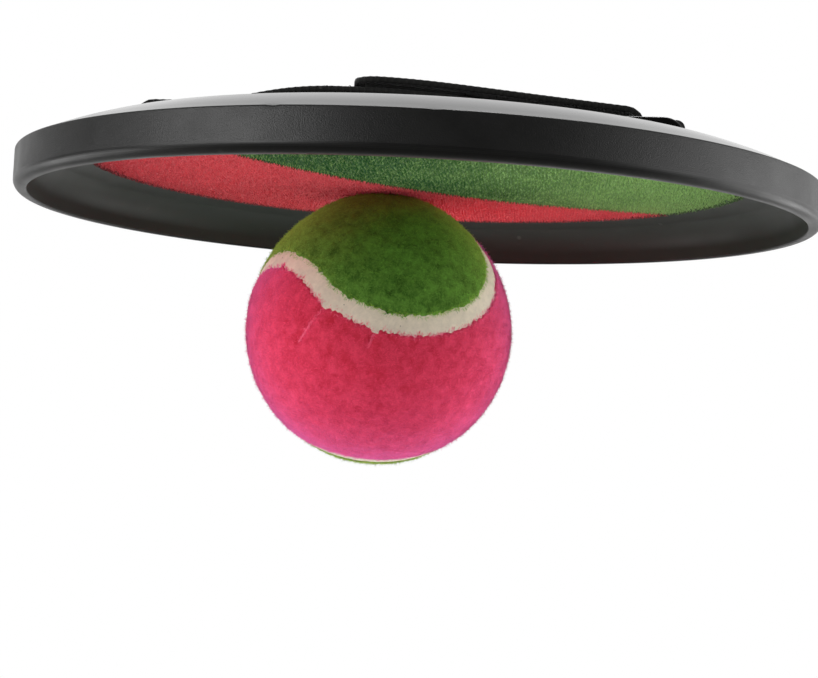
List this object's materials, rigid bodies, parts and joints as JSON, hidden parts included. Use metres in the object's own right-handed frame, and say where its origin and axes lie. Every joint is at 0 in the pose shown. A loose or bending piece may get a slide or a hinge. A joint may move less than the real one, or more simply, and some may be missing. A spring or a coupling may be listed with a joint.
{
  "type": "hook and loop catch paddle",
  "caption": "Shallow round hand-worn catch paddle: a hook fabric face in a moulded dish catches a felt ball, and an adjustable webbing strap over the back holds the hand.",
  "frame": {"origin": "centre of the flat back of the dish, where the hand lies under the strap", "axes": "+Z out of the back towards the strap, so the face looks along -Z; +X along the strap towards the bridge where its tail turns back"},
  "size_m": [0.18, 0.18, 0.0855],
  "materials": {
    "dish_plastic": "black, fine-grained wall and a polished shoulder and back",
    "adhesive": "thin bonding sheet",
    "hook_fabric_red": "dense short hooks in rows",
    "hook_fabric_green": "dense short hooks in rows",
    "webbing": "black woven webbing",
    "loop_tape": "black brushed loop",
    "hook_tape": "black hook",
    "ball_rubber": "hollow core, hidden",
    "felt_pink": "napped felt",
    "felt_green": "napped felt",
    "seam_rubber": "cream, matte, sunk between the panels"
  },
  "bodies": {
    "paddle": {"dish": "dish_plastic", "face_adhesive": "adhesive", "face_red": "hook_fabric_red", "face_green": "hook_fabric_green", "strap_band": "webbing", "loop_patch": "loop_tape"},
    "ball": {"ball_core_upper": "ball_rubber", "ball_core_lower": "ball_rubber", "felt_pink": "felt_pink", "felt_green": "felt_green", "ball_seam": "seam_rubber"},
    "tail": {"strap_tail": "webbing", "hook_patch": "hook_tape"}
  },
  "joints": [
    {"name": "ball_pull", "type": "slide", "parent": "paddle", "child": "ball", "axis": [0, 0, -1], "range_m": [0, 0.06]},
    {"name": "tail_peel", "type": "hinge", "parent": "paddle", "child": "tail", "pos_m": [0.04713, 0, 0.01014], "axis": [0, 1, 0], "range_deg": [0, 120]}
  ]
}
